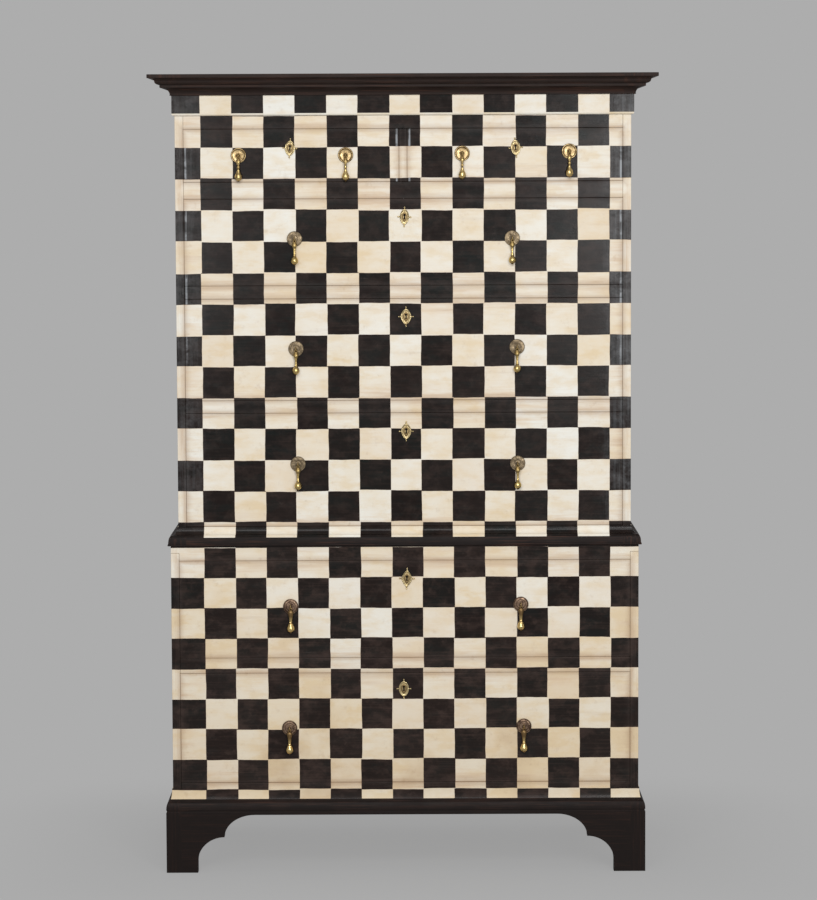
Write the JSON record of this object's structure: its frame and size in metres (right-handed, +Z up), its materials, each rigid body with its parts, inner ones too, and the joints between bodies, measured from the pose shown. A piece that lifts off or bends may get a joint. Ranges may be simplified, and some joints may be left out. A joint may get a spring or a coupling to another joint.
{
  "type": "chest on chest",
  "caption": "Tall two-stage chest of graduated drawers with a moulded cornice, waist moulding, bracket feet, brass drop pulls and black and cream checks.",
  "frame": {"origin": "on the floor, at the middle of the whole width and depth", "axes": "+Z up, -Y out of the drawer fronts, +X to the right of someone facing the drawers"},
  "size_m": [1.091, 0.559, 1.7285],
  "materials": {
    "painted_wood": "hand-painted black and cream checks over smooth wood, worn and crazed, low sheen",
    "black_moulding": "brown-black paint on mouldings, rubbed at the edges, low sheen; checks run on over the frieze and the coves",
    "bare_wood": "plain unpainted pine, dry and darkened",
    "bright_brass": "polished, rubbed yellow brass",
    "aged_brass": "dull engraved brass, greyed",
    "dark_brass": "brown patinated brass, bright where hands rub it"
  },
  "bodies": {
    "case": {"upper_left_side": "painted_wood", "upper_right_side": "painted_wood", "upper_top_board": "painted_wood", "upper_bottom_board": "painted_wood", "upper_back_panel": "bare_wood", "upper_partition": "painted_wood", "upper_dustboard_1": "painted_wood", "upper_dustboard_2": "painted_wood", "upper_dustboard_3": "painted_wood", "cornice": "black_moulding", "waist_moulding": "black_moulding", "lower_left_side": "painted_wood", "lower_right_side": "painted_wood", "lower_top_board": "painted_wood", "lower_bottom_board": "painted_wood", "lower_back_panel": "bare_wood", "lower_dustboard": "painted_wood", "bracket_base": "black_moulding"},
    "short_drawer_left": {"short_drawer_left_front": "painted_wood", "short_drawer_left_box": "bare_wood", "short_drawer_left_rose_1": "bright_brass", "short_drawer_left_rose_2": "bright_brass"},
    "short_drawer_left_drop_1": {"short_drawer_left_drop_1": "bright_brass"},
    "short_drawer_left_drop_2": {"short_drawer_left_drop_2": "bright_brass"},
    "short_drawer_right": {"short_drawer_right_front": "painted_wood", "short_drawer_right_box": "bare_wood", "short_drawer_right_rose_1": "bright_brass", "short_drawer_right_rose_2": "bright_brass"},
    "short_drawer_right_drop_1": {"short_drawer_right_drop_1": "bright_brass"},
    "short_drawer_right_drop_2": {"short_drawer_right_drop_2": "bright_brass"},
    "upper_drawer_1": {"upper_drawer_1_front": "painted_wood", "upper_drawer_1_box": "bare_wood", "upper_drawer_1_rose_1": "aged_brass", "upper_drawer_1_rose_2": "aged_brass"},
    "upper_drawer_1_drop_1": {"upper_drawer_1_drop_1": "aged_brass"},
    "upper_drawer_1_drop_2": {"upper_drawer_1_drop_2": "aged_brass"},
    "upper_drawer_2": {"upper_drawer_2_front": "painted_wood", "upper_drawer_2_box": "bare_wood", "upper_drawer_2_rose_1": "aged_brass", "upper_drawer_2_rose_2": "aged_brass"},
    "upper_drawer_2_drop_1": {"upper_drawer_2_drop_1": "aged_brass"},
    "upper_drawer_2_drop_2": {"upper_drawer_2_drop_2": "aged_brass"},
    "upper_drawer_3": {"upper_drawer_3_front": "painted_wood", "upper_drawer_3_box": "bare_wood", "upper_drawer_3_rose_1": "aged_brass", "upper_drawer_3_rose_2": "aged_brass"},
    "upper_drawer_3_drop_1": {"upper_drawer_3_drop_1": "aged_brass"},
    "upper_drawer_3_drop_2": {"upper_drawer_3_drop_2": "aged_brass"},
    "lower_drawer_1": {"lower_drawer_1_front": "painted_wood", "lower_drawer_1_box": "bare_wood", "lower_drawer_1_rose_1": "dark_brass", "lower_drawer_1_rose_2": "dark_brass"},
    "lower_drawer_1_drop_1": {"lower_drawer_1_drop_1": "dark_brass"},
    "lower_drawer_1_drop_2": {"lower_drawer_1_drop_2": "dark_brass"},
    "lower_drawer_2": {"lower_drawer_2_front": "painted_wood", "lower_drawer_2_box": "bare_wood", "lower_drawer_2_rose_1": "dark_brass", "lower_drawer_2_rose_2": "dark_brass"},
    "lower_drawer_2_drop_1": {"lower_drawer_2_drop_1": "dark_brass"},
    "lower_drawer_2_drop_2": {"lower_drawer_2_drop_2": "dark_brass"}
  },
  "joints": [
    {"name": "short_drawer_left_slide", "type": "slide", "parent": "case", "child": "short_drawer_left", "axis": [0, -1, 0], "range_m": [0, 0.36]},
    {"name": "short_drawer_left_drop_1_swing", "type": "hinge", "parent": "short_drawer_left", "child": "short_drawer_left_drop_1", "pos_m": [-0.35357, -0.2341, 1.55586], "axis": [-1, 0, 0], "range_deg": [0, 110]},
    {"name": "short_drawer_left_drop_2_swing", "type": "hinge", "parent": "short_drawer_left", "child": "short_drawer_left_drop_2", "pos_m": [-0.12343, -0.2341, 1.55586], "axis": [-1, 0, 0], "range_deg": [0, 110]},
    {"name": "short_drawer_right_slide", "type": "slide", "parent": "case", "child": "short_drawer_right", "axis": [0, -1, 0], "range_m": [0, 0.36]},
    {"name": "short_drawer_right_drop_1_swing", "type": "hinge", "parent": "short_drawer_right", "child": "short_drawer_right_drop_1", "pos_m": [0.12713, -0.2341, 1.55845], "axis": [-1, 0, 0], "range_deg": [0, 110]},
    {"name": "short_drawer_right_drop_2_swing", "type": "hinge", "parent": "short_drawer_right", "child": "short_drawer_right_drop_2", "pos_m": [0.35727, -0.2341, 1.56215], "axis": [-1, 0, 0], "range_deg": [0, 110]},
    {"name": "upper_drawer_1_slide", "type": "slide", "parent": "case", "child": "upper_drawer_1", "axis": [0, -1, 0], "range_m": [0, 0.36]},
    {"name": "upper_drawer_1_drop_1_swing", "type": "hinge", "parent": "upper_drawer_1", "child": "upper_drawer_1_drop_1", "pos_m": [-0.23436, -0.2341, 1.37638], "axis": [-1, 0, 0], "range_deg": [0, 110]},
    {"name": "upper_drawer_1_drop_2_swing", "type": "hinge", "parent": "upper_drawer_1", "child": "upper_drawer_1_drop_2", "pos_m": [0.23436, -0.2341, 1.37638], "axis": [-1, 0, 0], "range_deg": [0, 110]},
    {"name": "upper_drawer_2_slide", "type": "slide", "parent": "case", "child": "upper_drawer_2", "axis": [0, -1, 0], "range_m": [0, 0.36]},
    {"name": "upper_drawer_2_drop_1_swing", "type": "hinge", "parent": "upper_drawer_2", "child": "upper_drawer_2_drop_1", "pos_m": [-0.23281, -0.2341, 1.13951], "axis": [-1, 0, 0], "range_deg": [0, 110]},
    {"name": "upper_drawer_2_drop_2_swing", "type": "hinge", "parent": "upper_drawer_2", "child": "upper_drawer_2_drop_2", "pos_m": [0.24441, -0.2341, 1.14211], "axis": [-1, 0, 0], "range_deg": [0, 110]},
    {"name": "upper_drawer_3_slide", "type": "slide", "parent": "case", "child": "upper_drawer_3", "axis": [0, -1, 0], "range_m": [0, 0.36]},
    {"name": "upper_drawer_3_drop_1_swing", "type": "hinge", "parent": "upper_drawer_3", "child": "upper_drawer_3_drop_1", "pos_m": [-0.22997, -0.2341, 0.88995], "axis": [-1, 0, 0], "range_deg": [0, 110]},
    {"name": "upper_drawer_3_drop_2_swing", "type": "hinge", "parent": "upper_drawer_3", "child": "upper_drawer_3_drop_2", "pos_m": [0.24537, -0.2341, 0.88995], "axis": [-1, 0, 0], "range_deg": [0, 110]},
    {"name": "lower_drawer_1_slide", "type": "slide", "parent": "case", "child": "lower_drawer_1", "axis": [0, -1, 0], "range_m": [0, 0.36]},
    {"name": "lower_drawer_1_drop_1_swing", "type": "hinge", "parent": "lower_drawer_1", "child": "lower_drawer_1_drop_1", "pos_m": [-0.24753, -0.2501, 0.58141], "axis": [-1, 0, 0], "range_deg": [0, 110]},
    {"name": "lower_drawer_1_drop_2_swing", "type": "hinge", "parent": "lower_drawer_1", "child": "lower_drawer_1_drop_2", "pos_m": [0.25133, -0.2501, 0.58441], "axis": [-1, 0, 0], "range_deg": [0, 110]},
    {"name": "lower_drawer_2_slide", "type": "slide", "parent": "case", "child": "lower_drawer_2", "axis": [0, -1, 0], "range_m": [0, 0.36]},
    {"name": "lower_drawer_2_drop_1_swing", "type": "hinge", "parent": "lower_drawer_2", "child": "lower_drawer_2_drop_1", "pos_m": [-0.25171, -0.2501, 0.31541], "axis": [-1, 0, 0], "range_deg": [0, 110]},
    {"name": "lower_drawer_2_drop_2_swing", "type": "hinge", "parent": "lower_drawer_2", "child": "lower_drawer_2_drop_2", "pos_m": [0.25751, -0.2501, 0.31761], "axis": [-1, 0, 0], "range_deg": [0, 110]}
  ]
}
